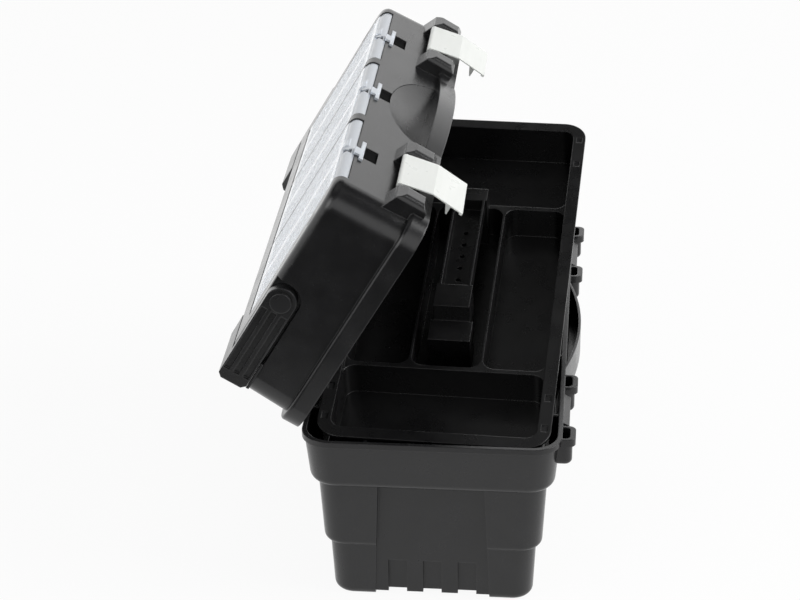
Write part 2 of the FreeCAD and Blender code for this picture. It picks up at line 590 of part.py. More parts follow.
def make_lid():
    flange_low = base_level(-FLANGE_OVER, -FLANGE_OVER, RIM_CORNER, RIM_Z)
    flange_high = base_level(-FLANGE_OVER, -FLANGE_OVER, RIM_CORNER, RIM_Z + FLANGE_HEIGHT)
    flange = softened(taper(flange_low, flange_high), FLANGE_EDGE, RIM_Z + FLANGE_HEIGHT)
    skin = lid_form(0)
    handle_space = handle_room(0)
    solid = skin.cut([handle_space, scoop(0)]).fuse([flange])

    added = []
    ear_front = FRONT_Y - EAR_REACH
    slope_z = RIM_Z + LID_EAR_TOP
    ear_profile = [
        (FRONT_Y + EAR_ROOT, RIM_Z + LID_EAR_BOTTOM),
        (ear_front + LID_EAR_BOTTOM, RIM_Z + LID_EAR_BOTTOM),
        (ear_front, RIM_Z + LID_EAR_BOTTOM + LID_EAR_BOTTOM),
        (ear_front, slope_z - LID_EAR_SLOPE),
        (ear_front + LID_EAR_SLOPE / 2, slope_z - LID_EAR_SLOPE / 4),
        (FRONT_Y + EAR_ROOT, slope_z + LID_EAR_SLOPE / 2),
    ]
    for x0, x1 in ear_places():
        ear = along_x(ear_profile, x0, x1)
        keep = upright(x0, x1, ear_front, FRONT_Y + EAR_REACH, RIM_Z, LID_TOP_Z, EAR_ROUND)
        added.append(ear.common(keep))
    added.append(bow(BOW_REACH, BOW_HALF_LENGTH, RIM_Z, RIM_Z + FLANGE_HEIGHT))
    for x0, x1 in lid_lug_places():
        added.append(
            along_x(
                [
                    (BACK_Y - EAR_ROOT, RIM_Z),
                    (BACK_Y + RIM_BEAD + LUG_RIM_SPACE, RIM_Z),
                    (HINGE_Y, HINGE_Z - HINGE_LUG_RADIUS),
                    (HINGE_Y, HINGE_Z + HINGE_LUG_RADIUS),
                    (BACK_Y, RIM_Z + LID_LUG_HEIGHT),
                    (BACK_Y - EAR_ROOT, RIM_Z + LID_LUG_HEIGHT),
                ],
                x0,
                x1,
            )
        )
        added.append(rod_x(HINGE_LUG_RADIUS, x0, x1, HINGE_Y, HINGE_Z))
    solid = solid.fuse(added)

    well_block = box(
        cover_centres()[0] - COVER_LENGTH / 2 - WALL, cover_centres()[-1] + COVER_LENGTH / 2 + WALL,
        -WIDTH, COVER_AXIS_Y + COVER_BARREL_RADIUS + BARREL_ROOM + THIN_WALL,
        LID_TOP_Z - COVER_LIP - COVER_GAP - THIN_WALL, LID_TOP_Z + CUT_OVERRUN,
    )
    bed_block = well_block.cut(lid_form(SHELL_INSET))
    room = lid_form(WALL).cut([handle_room(WALL), scoop(WALL), bed_block])
    well_floor = LID_TOP_Z - SHELL_INSET - WELL_DEPTH
    well_back = BACK_Y - WELL_BACK_FROM_BACK
    well_front = FRONT_Y + WELL_FROM_FRONT
    well_middle = (well_back + well_front) / 2
    hollows = []
    for centre in cover_centres():
        x0 = centre - WELL_LENGTH / 2
        x1 = centre + WELL_LENGTH / 2
        outer = box(
            x0 - WELL_WALL, x1 + WELL_WALL, well_front - WELL_WALL, well_back + WELL_WALL,
            well_floor - WELL_WALL, LID_TOP_Z,
        )
        behind_window = box(
            centre - WINDOW_WIDTH / 2 - THIN_WALL, centre + WINDOW_WIDTH / 2 + THIN_WALL,
            -WIDTH, FRONT_Y + LID_SIDE_INSET + WINDOW_DEPTH + THIN_WALL,
            WINDOW_Z - THIN_WALL, LID_TOP_Z,
        )
        room = room.cut([outer, behind_window])
        top = LID_TOP_Z + CUT_OVERRUN
        hollows.append(box(x0, x1, well_front, well_middle - WELL_WALL / 2, well_floor, top))
        hollows.append(box(x0, x1, well_middle + WELL_WALL / 2, well_back, well_floor, top))
    bow_half = BOW_HALF_LENGTH - EAR_ROOT
    bow_room = bow(BOW_REACH - THIN_WALL, bow_half, RIM_Z - CUT_OVERRUN, RIM_Z + FLANGE_HEIGHT - WALL)
    bow_room = bow_room.cut(box(-LENGTH, LENGTH, FRONT_Y - FLANGE_OVER, BACK_Y, 0, LID_TOP_Z))
    mouth_x = LENGTH / 2 - LID_END_INSET - WALL
    mouth_y = WIDTH / 2 - LID_SIDE_INSET - WALL
    mouth = taper(
        (mouth_x, mouth_y, LID_CORNER - WALL, RIM_Z - CUT_OVERRUN),
        (mouth_x, mouth_y, LID_CORNER - WALL, RIM_Z),
    )
    hollows += [room, mouth, bow_room]

    bed = lid_form(COVER_THICKNESS + COVER_GAP)
    for centre in cover_centres():
        seat = cover_zone(centre, COVER_SIDE_GAP, COVER_LIP + COVER_GAP, COVER_AXIS_Y)
        hollows.append(seat.cut(bed))
        half = COVER_LENGTH / 2 + COVER_SIDE_GAP
        x0 = centre - half
        x1 = centre + half
        barrel_room = COVER_BARREL_RADIUS + BARREL_ROOM
        hollows.append(rod_x(barrel_room, x0, x1, COVER_AXIS_Y, COVER_AXIS_Z))
        barrel_top = box(
            x0, x1, COVER_AXIS_Y - barrel_room, COVER_AXIS_Y + barrel_room,
            COVER_AXIS_Z, LID_TOP_Z + CUT_OVERRUN,
        )
        hollows.append(barrel_top)
        pin_room = COVER_PIN_RADIUS + RUNNING_CLEARANCE
        pin_x0 = x0 - COVER_PIN_LENGTH
        pin_x1 = x1 + COVER_PIN_LENGTH
        hollows.append(rod_x(pin_room, pin_x0, pin_x1, COVER_AXIS_Y, COVER_AXIS_Z))
        window_y = FRONT_Y + LID_SIDE_INSET + WINDOW_DEPTH
        hollows.append(
            box(
                centre - WINDOW_WIDTH / 2, centre + WINDOW_WIDTH / 2, -WIDTH, window_y,
                WINDOW_Z, WINDOW_TOP_Z,
            )
        )
    slot_x = FRAME_SLOT_X
    slot = box(
        slot_x - FRAME_SLOT_WIDTH / 2, slot_x + FRAME_SLOT_WIDTH / 2,
        FRAME_SLOT_FRONT_Y - FRAME_SLOT_LENGTH / 2, FRAME_SLOT_FRONT_Y + FRAME_SLOT_LENGTH / 2,
        LID_TOP_Z - FRAME_SLOT_DEPTH, LID_TOP_Z + CUT_OVERRUN,
    )
    hollows += both_ends(slot)
    for x0, x1 in latch_pin_places():
        hollows.append(rod_x(LATCH_PIN_RADIUS, x0, x1, LATCH_PIN_Y, LATCH_PIN_Z))
    for x0, x1 in hinge_places():
        hollows.append(rod_x(HINGE_PIN_RADIUS + RUNNING_CLEARANCE, x0, x1, HINGE_Y, HINGE_Z))
    pivot_bore = rod_x(PIVOT_RADIUS, RECESS_X - PIVOT_SEAT, RECESS_X + CUT_OVERRUN, PIVOT_Y, PIVOT_Z)
    hollows += both_ends(pivot_bore)
    return solid.cut(hollows).removeSplitter()


def lid_lug_places():
    """The X ranges of the lid's hinge lugs, one to each hinge."""
    half = HINGE_MIDDLE_WIDTH / 2
    return [(centre - half, centre + half) for centre in (-HINGE_X, HINGE_X)]


def latch_pin_places():
    """The X ranges of the two latch pins."""
    half = SLOT_WIDTH / 2 + LATCH_PIN_SEAT
    return [(centre - half, centre + half) for centre in (-LATCH_X, LATCH_X)]


# Clear covers
def make_cover(centre):
    shell = lid_form(0).cut(lid_form(COVER_THICKNESS))
    plate = shell.common(cover_zone(centre, 0, COVER_LIP, COVER_AXIS_Y))
    half = COVER_LENGTH / 2
    barrel = rod_x(COVER_BARREL_RADIUS, centre - half, centre + half, COVER_AXIS_Y, COVER_AXIS_Z)
    reach = half + COVER_PIN_LENGTH
    pin = rod_x(COVER_PIN_RADIUS, centre - reach, centre + reach, COVER_AXIS_Y, COVER_AXIS_Z)
    stem_low = LID_TOP_Z - COVER_LIP - COVER_TAB_DROP
    bar_high = LID_TOP_Z - COVER_LIP
    stem_x0 = centre - COVER_STEM_WIDTH / 2
    stem = box(stem_x0, stem_x0 + COVER_STEM_WIDTH, -WIDTH, FRONT_Y / 2, stem_low, bar_high)
    bar = box(
        centre - COVER_BAR_WIDTH / 2, centre + COVER_BAR_WIDTH / 2, -WIDTH, FRONT_Y / 2,
        LID_TOP_Z - COVER_BAR_DROP - COVER_LIP, bar_high,
    )
    out_y = -COVER_THICKNESS - COVER_TAB_GAP
    proud = shell.translated(vec(0, out_y, 0))
    tab = proud.common(stem.fuse(bar))
    bridge = lid_form(0).translated(vec(0, out_y, 0)).cut(lid_form(COVER_THICKNESS))
    bridge = bridge.common(
        box(
            centre - COVER_BAR_WIDTH / 2, centre + COVER_BAR_WIDTH / 2, -WIDTH, FRONT_Y / 2,
            bar_high - COVER_THICKNESS, bar_high + COVER_THICKNESS,
        )
    )
    bridge = bridge.cut(box(-LENGTH, LENGTH, -WIDTH, WIDTH, 0, bar_high))
    return plate.fuse([barrel, pin, tab, bridge]).removeSplitter()


# Latches
def make_latch(centre):
    ring_outer = LATCH_PIN_RADIUS + RUNNING_CLEARANCE + LATCH_SHEET
    x0 = centre - LATCH_WIDTH / 2
    x1 = centre + LATCH_WIDTH / 2
    curl = rod_x(ring_outer, x0, x1, LATCH_PIN_Y, LATCH_PIN_Z)
    bend_y = FRONT_Y - LATCH_BEND_REACH
    bend_z = RIM_Z + LATCH_BEND_HEIGHT
    tip_y = FRONT_Y - LATCH_TIP_REACH
    tip_z = RIM_Z - LATCH_TIP_DROP
    start_y = LATCH_PIN_Y - ring_outer
    upper = along_x(
        [
            (start_y, LATCH_PIN_Z),
            (bend_y, bend_z),
            (bend_y + LATCH_SHEET, bend_z),
            (start_y + LATCH_SHEET, LATCH_PIN_Z),
        ],
        x0,
        x1,
    )
    lower = along_x(
        [
            (bend_y, bend_z),
            (tip_y, tip_z),
            (tip_y + LATCH_SHEET, tip_z),
            (bend_y + LATCH_SHEET, bend_z),
        ],
        x0,
        x1,
    )
    hem = box(x0, x1, tip_y, tip_y + LATCH_HEM, tip_z, tip_z + LATCH_HEM_HEIGHT)
    barb = along_x(
        [
            (tip_y, RIM_Z - BARB_TOP_DROP),
            (tip_y + BARB_REACH, RIM_Z - BARB_BOTTOM_DROP + LATCH_SHEET),
            (tip_y + BARB_REACH, RIM_Z - BARB_BOTTOM_DROP),
            (tip_y, RIM_Z - BARB_BOTTOM_DROP),
        ],
        centre - BARB_WIDTH / 2,
        centre + BARB_WIDTH / 2,
    )
    bore_radius = LATCH_PIN_RADIUS + RUNNING_CLEARANCE
    bore = rod_x(bore_radius, x0 - CUT_OVERRUN, x1 + CUT_OVERRUN, LATCH_PIN_Y, LATCH_PIN_Z)
    return curl.fuse([upper, lower, hem, barb]).cut(bore).removeSplitter()


# Carrying handle
def bar_profile(y0, y1, z0, z1, chamfer):
    """A bar's (y, z) outline with its two back edges taken off."""
    return [
        (y0, z0),
        (y0, z1),
        (y1 - chamfer, z1),
        (y1, z1 - chamfer),
        (y1, z0 + chamfer),
        (y1 - chamfer, z0),
    ]


def make_handle():
    bar_y0 = BACK_Y - BAR_FROM_BACK - BAR_DEPTH
    bar_y1 = BACK_Y - BAR_FROM_BACK
    top_z = LID_TOP_Z - BAR_TOP_DROP
    low_z = top_z - ARM_HEIGHT
    grip_z = top_z - GRIP_DROP
    arm_x0 = RECESS_X + ARM_SIDE_GAP
    arm_x1 = arm_x0 + ARM_THICKNESS
    bar = along_x(bar_profile(bar_y0, bar_y1, low_z, top_z, BAR_CHAMFER), -arm_x1, arm_x1)
    dip_half = arm_x1 - CORNER_LENGTH
    dip_points = [
        (-dip_half, top_z + CUT_OVERRUN),
        (-dip_half + GRIP_RUN, grip_z),
        (dip_half - GRIP_RUN, grip_z),
        (dip_half, top_z + CUT_OVERRUN),
    ]
    loop = [vec(x, bar_y0 - CUT_OVERRUN, z) for x, z in dip_points]
    dip_run = vec(0, BAR_DEPTH + CUT_OVERRUN + CUT_OVERRUN, 0)
    dip = Part.Face(Part.makePolygon(loop + loop[:1])).extrude(dip_run)
    under = box(
        -arm_x0 + BAR_LIP, arm_x0 - BAR_LIP, bar_y0 + BAR_LIP, bar_y1 - BAR_LIP,
        low_z - CUT_OVERRUN, grip_z - BAR_LIP,
    )
    eye_radius = ARM_HEIGHT / 2
    arm = box(arm_x0, arm_x1, PIVOT_Y, bar_y0, low_z, top_z)
    eye = rod_x(eye_radius, arm_x0, arm_x1, PIVOT_Y, PIVOT_Z)
    grooves = []
    groove_y0 = PIVOT_Y + PIVOT_CAP_RADIUS + GROOVE_PIVOT_SPACE
    groove_y1 = bar_y1 - GROOVE_BACK_SPACE
    for step in (-1, 0, 1):
        z = PIVOT_Z + step * GROOVE_PITCH
        grooves.append(
            box(
                arm_x1 - GROOVE_DEPTH, arm_x1 + CUT_OVERRUN, groove_y0, groove_y1,
                z - GROOVE_WIDTH / 2, z + GROOVE_WIDTH / 2,
            )
        )
    bore_radius = PIVOT_RADIUS + RUNNING_CLEARANCE
    bore = rod_x(bore_radius, arm_x0 - CUT_OVERRUN, arm_x1 + CUT_OVERRUN, PIVOT_Y, PIVOT_Z)
    whole = bar.cut([dip, under]).fuse(both_ends(arm) + both_ends(eye))
    return whole.cut(both_ends(bore) + grooves + [mirrored(groove) for groove in grooves]).removeSplitter()


def make_pivot():
    """The rivet that carries one arm of the handle, at the +X end."""
    arm_x1 = RECESS_X + ARM_SIDE_GAP + ARM_THICKNESS
    cap_x0 = arm_x1 + RUNNING_CLEARANCE
    shank = rod_x(PIVOT_RADIUS, RECESS_X - PIVOT_SEAT, cap_x0, PIVOT_Y, PIVOT_Z)
    cap = rod_x(PIVOT_CAP_RADIUS, cap_x0, cap_x0 + PIVOT_CAP_THICKNESS, PIVOT_Y, PIVOT_Z)
    return shank.fuse(cap).removeSplitter()


# Tray, drawn seated and then tilted and skewed about its left rim
def tray_box(s0, s1, t0, t1, z0, z1):
    """A box placed by distances along the tray from its left end."""
    return box(s0 - TRAY_HALF_LENGTH, s1 - TRAY_HALF_LENGTH, t0, t1, z0, z1)


def bin_room(s0, s1, t0, t1):
    """The room of one bin, with rounded upright corners."""
    floor_z = TRAY_BOTTOM_Z + TRAY_FLOOR
    return upright(
        s0 - TRAY_HALF_LENGTH, s1 - TRAY_HALF_LENGTH, t0, t1,
        floor_z, TRAY_TOP_Z + CUT_OVERRUN, TRAY_BIN_CORNER,
    )


def make_tray():
    rim_z = TRAY_TOP_Z - TRAY_WALL
    tub_corner = TRAY_BIN_CORNER + TRAY_WALL
    tub = taper(
        (TUB_HALF_LENGTH, TUB_HALF_WIDTH, tub_corner, TRAY_BOTTOM_Z),
        (TUB_HALF_LENGTH, TUB_HALF_WIDTH, tub_corner, rim_z),
    )
    rim = taper(
        (TRAY_HALF_LENGTH, TRAY_HALF_WIDTH, TRAY_CORNER, rim_z),
        (TRAY_HALF_LENGTH, TRAY_HALF_WIDTH, TRAY_CORNER, TRAY_TOP_Z),
    )
    side = TRAY_HALF_WIDTH - TRAY_RIM
    half = DIVIDER_THICKNESS / 2
    bins = [
        bin_room(TRAY_RIM, NEAR_DIVIDER - half, -side, side),
        bin_room(FAR_DIVIDER + half, TRAY_LENGTH - TRAY_RIM, -side, side),
        bin_room(NEAR_DIVIDER + half, FAR_DIVIDER - half, -side, -CENTRE_HALF_WIDTH - half),
        bin_room(NEAR_DIVIDER + half, FAR_DIVIDER - half, CENTRE_HALF_WIDTH + half, side),
        bin_room(NEAR_DIVIDER + half, FAR_DIVIDER - half, -CENTRE_HALF_WIDTH, CENTRE_HALF_WIDTH),
    ]
    divider_top = TRAY_TOP_Z - DIVIDER_DROP
    top = TRAY_TOP_Z + CUT_OVERRUN
    end_space = TRAY_RIM + TRAY_CORNER
    lowered = tray_box(end_space, TRAY_LENGTH - end_space, -side, side, divider_top, top)
    rest = tub.fuse(rim).cut(bins + [lowered])

    bar_z1 = TRAY_TOP_Z + BAR_RISE
    bar_z0 = bar_z1 - BAR_CHANNEL - BAR_FLOOR
    bar_end = FAR_DIVIDER - half
    bar = tray_box(BAR_START, bar_end, -BAR_HALF_WIDTH, BAR_HALF_WIDTH, bar_z0, bar_z1)
    channel_half = BAR_HALF_WIDTH - BAR_WALL
    far_post = bar_end - POST_LENGTH / 2
    channel_z = bar_z1 - BAR_CHANNEL
    channel = tray_box(BAR_START, far_post, -channel_half, channel_half, channel_z, bar_z1 + CUT_OVERRUN)
    post = tray_box(
        BAR_START - POST_LENGTH, BAR_START, -POST_HALF_WIDTH, POST_HALF_WIDTH, TRAY_BOTTOM_Z, bar_z1,
    )
    step_end = BAR_START - POST_LENGTH
    step_z = TRAY_TOP_Z - STEP_DROP
    step_start = step_end - STEP_LENGTH
    step = tray_box(step_start, step_end, -STEP_HALF_WIDTH, STEP_HALF_WIDTH, TRAY_BOTTOM_Z, step_z)
    far_block = tray_box(far_post, bar_end + half, -POST_HALF_WIDTH, POST_HALF_WIDTH, TRAY_BOTTOM_Z, bar_z1)
    hollow_post = tray_box(
        step_start + BAR_WALL, BAR_START - BAR_WALL, -channel_half, channel_half,
        TRAY_BOTTOM_Z - CUT_OVERRUN, step_z - BAR_WALL,
    )
    holes = []
    for number in range(HOLE_COUNT):
        x = HOLE_START + number * HOLE_PITCH - TRAY_HALF_LENGTH
        foot = vec(x, 0, bar_z0 - CUT_OVERRUN)
        holes.append(Part.makeCylinder(HOLE_RADIUS, BAR_CHANNEL + BAR_FLOOR, foot, Z_AXIS))
    for across in (-1, 1):
        y = across * (TRAY_HALF_WIDTH - TRAY_RIM / 2)
        for s in (TRAY_NOTCH_FIRST, TRAY_NOTCH_SECOND):
            notch = box(
                TRAY_HALF_LENGTH - s - TRAY_NOTCH_LENGTH / 2, TRAY_HALF_LENGTH - s + TRAY_NOTCH_LENGTH / 2,
                y - TRAY_NOTCH_WIDTH / 2, y + TRAY_NOTCH_WIDTH / 2, TRAY_TOP_Z - TRAY_NOTCH_DEPTH, top,
            )
            holes += both_ends(notch)
    whole = rest.fuse([bar, post, step, far_block])
    return whole.cut([channel, hollow_post] + holes).removeSplitter()


# Pins
def make_hinge_pins():
    return [rod_x(HINGE_PIN_RADIUS, x0, x1, HINGE_Y, HINGE_Z) for x0, x1 in hinge_places()]


def make_latch_pins():
    return [rod_x(LATCH_PIN_RADIUS, x0, x1, LATCH_PIN_Y, LATCH_PIN_Z) for x0, x1 in latch_pin_places()]


# Assembly: lid pieces swing open about the hinge, the tray tilts and skews about its left rim
def opened(shape):
    return shape.rotated(vec(0, HINGE_Y, HINGE_Z), -X_AXIS, LID_OPEN)


def tilted(shape):
    corner = vec(-TRAY_HALF_LENGTH, 0, TRAY_TOP_Z)
    return shape.rotated(corner, -Y_AXIS, TRAY_TILT).rotated(corner, -Z_AXIS, TRAY_SKEW)


hinge_pin_left, hinge_pin_right = make_hinge_pins()
latch_pin_left, latch_pin_right = make_latch_pins()
pivot_right = make_pivot()
cover_names = ["cover_left", "cover_middle", "cover_right"]

nodes = {
    "base_bin": make_base(),
    "hinge_pin_left": hinge_pin_left,
    "hinge_pin_right": hinge_pin_right,
    "tray": tilted(make_tray()),
    "lid_shell": opened(make_lid()),
    "latch_pin_left": opened(latch_pin_left),
    "latch_pin_right": opened(latch_pin_right),
    "latch_left": opened(make_latch(-LATCH_X)),
    "latch_right": opened(make_latch(LATCH_X)),
    "carry_handle": opened(make_handle()),
    "handle_pivot_left": opened(mirrored(pivot_right)),
    "handle_pivot_right": opened(pivot_right),
}
for cover_name, cover_centre in zip(cover_names, cover_centres()):
    nodes[cover_name] = opened(make_cover(cover_centre))

os.makedirs("parts", exist_ok=True)
for node_name, node_shape in nodes.items():
    node_shape.exportStep("parts/" + node_name + ".step")
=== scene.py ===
# %% [markdown]
# # A black tool box, dressed for its photograph
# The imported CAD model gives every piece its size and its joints. This lesson
# adds the looks: moulded plastic, clear ribbed covers, pale latches, light and
# a camera. Lengths in the text are millimetres, Blender works in metres.

# %% Load the frame
import math

import bmesh
import bpy
from mathutils import Matrix, Vector


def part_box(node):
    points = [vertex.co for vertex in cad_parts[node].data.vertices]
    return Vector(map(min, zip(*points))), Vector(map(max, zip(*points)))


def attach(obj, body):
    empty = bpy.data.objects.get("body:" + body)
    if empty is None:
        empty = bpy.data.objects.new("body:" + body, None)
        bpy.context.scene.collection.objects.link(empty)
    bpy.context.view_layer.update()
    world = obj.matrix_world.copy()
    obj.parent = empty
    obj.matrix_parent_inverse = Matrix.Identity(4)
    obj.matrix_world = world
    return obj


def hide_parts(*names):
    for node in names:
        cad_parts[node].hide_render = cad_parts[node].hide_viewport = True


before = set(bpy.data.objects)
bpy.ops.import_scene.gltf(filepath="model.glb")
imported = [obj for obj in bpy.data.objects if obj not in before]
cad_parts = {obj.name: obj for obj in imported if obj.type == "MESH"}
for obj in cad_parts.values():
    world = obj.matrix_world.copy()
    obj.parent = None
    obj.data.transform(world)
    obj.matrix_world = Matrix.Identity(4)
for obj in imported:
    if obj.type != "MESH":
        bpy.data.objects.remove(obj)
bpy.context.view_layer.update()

MM = 0.001
print("nodes:", sorted(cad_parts))

# %% [markdown]
# ## Camera
# The photograph was taken from the box's left end, a little above it, with a
# long lens. The place, the direction and the lens come from a fit of the box's
# own corners, so the camera is written as numbers and not aimed by eye. A small
# roll tilts the picture by less than one degree.

# %% Camera
CAMERA_PLACE = Vector((-2.03283, -0.14732, 1.25328))
CAMERA_AZIMUTH = math.radians(-84.4403)
CAMERA_ELEVATION = math.radians(27.1201)
CAMERA_ROLL = math.radians(-0.7729)
CAMERA_LENS = 99.892
CAMERA_REACH = 100.0
SENSOR_WIDTH = 36.0


def camera_axes(azimuth, elevation, roll):
    """The camera's right, up and backward directions."""
    ahead = Vector((
        -math.sin(azimuth) * math.cos(elevation),
        math.cos(azimuth) * math.cos(elevation),
        -math.sin(elevation),
    ))
    level = Vector((math.cos(azimuth), math.sin(azimuth), 0.0))
    above = level.cross(ahead)
    right = level * math.cos(roll) + above * math.sin(roll)
    up = above * math.cos(roll) - level * math.sin(roll)
    return right, up, -ahead


camera_data = bpy.data.cameras.new("photo_camera")
camera_data.lens = CAMERA_LENS
camera_data.sensor_width = SENSOR_WIDTH
camera_data.clip_end = CAMERA_REACH
camera = bpy.data.objects.new("photo_camera", camera_data)
bpy.context.scene.collection.objects.link(camera)
camera.matrix_world = Matrix.Translation(CAMERA_PLACE) @ Matrix(
    camera_axes(CAMERA_AZIMUTH, CAMERA_ELEVATION, CAMERA_ROLL)
).transposed().to_4x4()
bpy.context.scene.camera = camera
print("camera stands", round(CAMERA_PLACE.length, 3), "m from the box")

# %% [markdown]
# ## Node helper
# Every finish below is a small tree of shader nodes. Writing each node and link
# out is long, so one helper makes a node, sets its sockets and links its inputs.
# A noise mostly stays between 0.3 and 0.7, and the helper can stretch that
# spread to any range.

# %% Node helper
NOISE_LOW = 0.3
NOISE_HIGH = 0.7
BEVEL_SAMPLES = 6


class Recipe:
    """A tree of shader nodes under construction."""

    def __init__(self, tree):
        self.tree = tree

    def feed(self, socket, value):
        if isinstance(value, bpy.types.NodeSocket):
            self.tree.links.new(value, socket)
        else:
            socket.default_value = value

    def node(self, kind, inputs=None, **settings):
        made = self.tree.nodes.new(kind)
        for key, value in settings.items():
            setattr(made, key, value)
        for key, value in (inputs or {}).items():
            self.feed(made.inputs[key], value)
        return made

    def remap(self, value, low, high, to_low, to_high, curve="LINEAR"):
        """Stretches a value from one range to another."""
        made = self.node("ShaderNodeMapRange", {
            "Value": value, "From Min": low, "From Max": high,
            "To Min": to_low, "To Max": to_high,
        }, interpolation_type=curve)
        return made.outputs["Result"]

    def math(self, operation, first, second):
        made = self.node("ShaderNodeMath", {0: first, 1: second}, operation=operation)
        return made.outputs[0]


class Finish(Recipe):
    """A material under construction, with its principled shader ready."""

    def __init__(self, name):
        self.material = bpy.data.materials.new(name)
        self.material.use_nodes = True
        super().__init__(self.material.node_tree)
        self.shader = self.tree.nodes["Principled BSDF"]
        self.place = self.node("ShaderNodeTexCoord").outputs["Object"]

    def set(self, sockets):
        """Sets or links sockets of the principled shader by their own names."""
        for name, value in sockets.items():
            self.feed(self.shader.inputs[name], value)

    def noise(self, scale, detail=4.0, roughness=0.55, place=None):
        made = self.node("ShaderNodeTexNoise", {
            "Vector": place or self.place, "Scale": scale,
            "Detail": detail, "Roughness": roughness,
        })
        return made.outputs["Fac"]

    def stretched(self, scales):
        """Coordinates drawn out along one axis, for streaks and scratches."""
        made = self.node("ShaderNodeMapping", {"Vector": self.place, "Scale": scales})
        return made.outputs["Vector"]

    def across(self, noise, to_low, to_high):
        """Stretches a noise from its usual spread to a range."""
        return self.remap(noise, NOISE_LOW, NOISE_HIGH, to_low, to_high)

    def blend(self, factor, first, second):
        """One colour that turns into another as the factor goes from 0 to 1."""
        made = self.node("ShaderNodeMix", {0: factor, 6: first, 7: second}, data_type="RGBA")
        return made.outputs[2]

    def bump(self, height, strength, distance, edge=0.0):
        """Grain on the surface, over edges that are rounded by the radius edge."""
        made = self.node("ShaderNodeBump", {
            "Height": height, "Strength": strength, "Distance": distance,
        })
        if edge:
            rounded = self.node("ShaderNodeBevel", {"Radius": edge}, samples=BEVEL_SAMPLES)
            self.feed(made.inputs["Normal"], rounded.outputs["Normal"])
        self.set({"Normal": made.outputs["Normal"]})


print("node helpers:", Recipe.__name__, Finish.__name__)

# %% [markdown]
# ## Black moulded plastic
# The base, the lid, the tray and the handle are injection moulded in black
# plastic with a fine spark-eroded grain. Three things make it read as plastic
# and not as paint: the grain in the bump, slow patches in the roughness where
# hands have polished it, and edges that are rubbed a little lighter. Edges could
# be painted by hand, but ambient occlusion that looks inwards finds them by
# itself, because it drops only near a corner.

# %% Black moulded plastic
EDGE_ROUND = 1.4 * MM
GRAIN_DEPTH = 0.4 * MM
RUB_REACH = 2.2 * MM
RUB_SAMPLES = 4
RUB_START = 0.72
RUB_FULL = 0.45
RUB_LIGHTER = 3.0
SCRATCH_START = 0.62
SCRATCH_FULL = 0.74
SCRATCH_ROUGHER = 0.12


def moulded_black(name, dark, light, rough_low, rough_high, grain):
    finish = Finish(name)
    patches = finish.noise(scale=38.0, detail=5.0)
    inward = finish.node(
        "ShaderNodeAmbientOcclusion", {"Distance": RUB_REACH}, samples=RUB_SAMPLES, inside=True,
    )
    rubbed = finish.math(
        "MULTIPLY",
        finish.remap(inward.outputs["AO"], RUB_START, RUB_FULL, 0.0, 1.0),
        finish.remap(patches, low=0.35, high=0.7, to_low=0.15, to_high=0.75),
    )
    worn = tuple(RUB_LIGHTER * channel for channel in light[:3]) + (1.0,)
    body = finish.blend(finish.across(patches, 0.0, 1.0), dark, light)
    scratches = finish.noise(
        scale=26.0, detail=8.0, roughness=0.7, place=finish.stretched((1.0, 9.0, 14.0)),
    )
    scuffs = finish.remap(scratches, SCRATCH_START, SCRATCH_FULL, 0.0, SCRATCH_ROUGHER)
    finish.set({
        "Base Color": finish.blend(rubbed, body, worn),
        "Roughness": finish.math("ADD", finish.across(patches, rough_low, rough_high), scuffs),
    })
    grain_height = finish.noise(scale=grain, detail=3.0, roughness=0.6)
    finish.bump(grain_height, strength=0.16, distance=GRAIN_DEPTH, edge=EDGE_ROUND)
    return finish.material


box_black = moulded_black(
    "box_black", dark=(0.006, 0.006, 0.0066, 1), light=(0.01, 0.01, 0.0107, 1),
    rough_low=0.2, rough_high=0.28, grain=1500.0,
)
handle_black = moulded_black(
    "handle_black", dark=(0.008, 0.008, 0.0086, 1), light=(0.012, 0.012, 0.0126, 1),
    rough_low=0.24, rough_high=0.32, grain=1300.0,
)
tray_black = moulded_black(
    "tray_black", dark=(0.004, 0.004, 0.0043, 1), light=(0.007, 0.007, 0.0073, 1),
    rough_low=0.24, rough_high=0.34, grain=900.0,
)
print("black finishes:", box_black.name, handle_black.name, tray_black.name)

# %% [markdown]
# ## Clear plastic
# The covers are clear polystyrene with a faint blue cast. Pure glass would show
# the black wells behind it, while the real ribs scatter light back, so only
# part of the light goes through and the rest sees a pale haze.

# %% Clear plastic
HAZE_DEPTH = 0.4 * MM


def clear_cover_plastic():
    finish = Finish("cover_clear")
    haze = finish.noise(scale=90.0)
    finish.set({
        "Base Color": finish.blend(haze, (0.82, 0.88, 0.97, 1), (0.9, 0.94, 0.99, 1)),
        "Roughness": finish.across(haze, 0.1, 0.18),
        "IOR": 1.5,
        "Transmission Weight": 0.45,
    })
    finish.bump(haze, strength=0.03, distance=HAZE_DEPTH)
    return finish.material


cover_clear = clear_cover_plastic()
print("clear finish:", cover_clear.name)

# %% [markdown]
# ## Latch plate and pin wire
# The latches are a pale silver plate with a fine grain along its length. The
# pins are drawn steel wire. Both get their streaks from a noise that is drawn
# out along one axis, which is quicker than drawing lines and never repeats.

# %% Latch plate and pin wire
BRUSH_DEPTH = 0.2 * MM
WIRE_DEPTH = 0.1 * MM


def latch_plate():
    finish = Finish("latch_plate")
    brushed = finish.noise(
        scale=240.0, detail=3.0, roughness=0.6, place=finish.stretched((0.06, 1.0, 1.0)),
    )
    smudges = finish.noise(scale=45.0)
    finish.set({
        "Base Color": finish.blend(brushed, (0.67, 0.69, 0.66, 1), (0.75, 0.765, 0.74, 1)),
        "Roughness": finish.across(smudges, 0.26, 0.38),
    })
    finish.bump(brushed, strength=0.06, distance=BRUSH_DEPTH)
    return finish.material


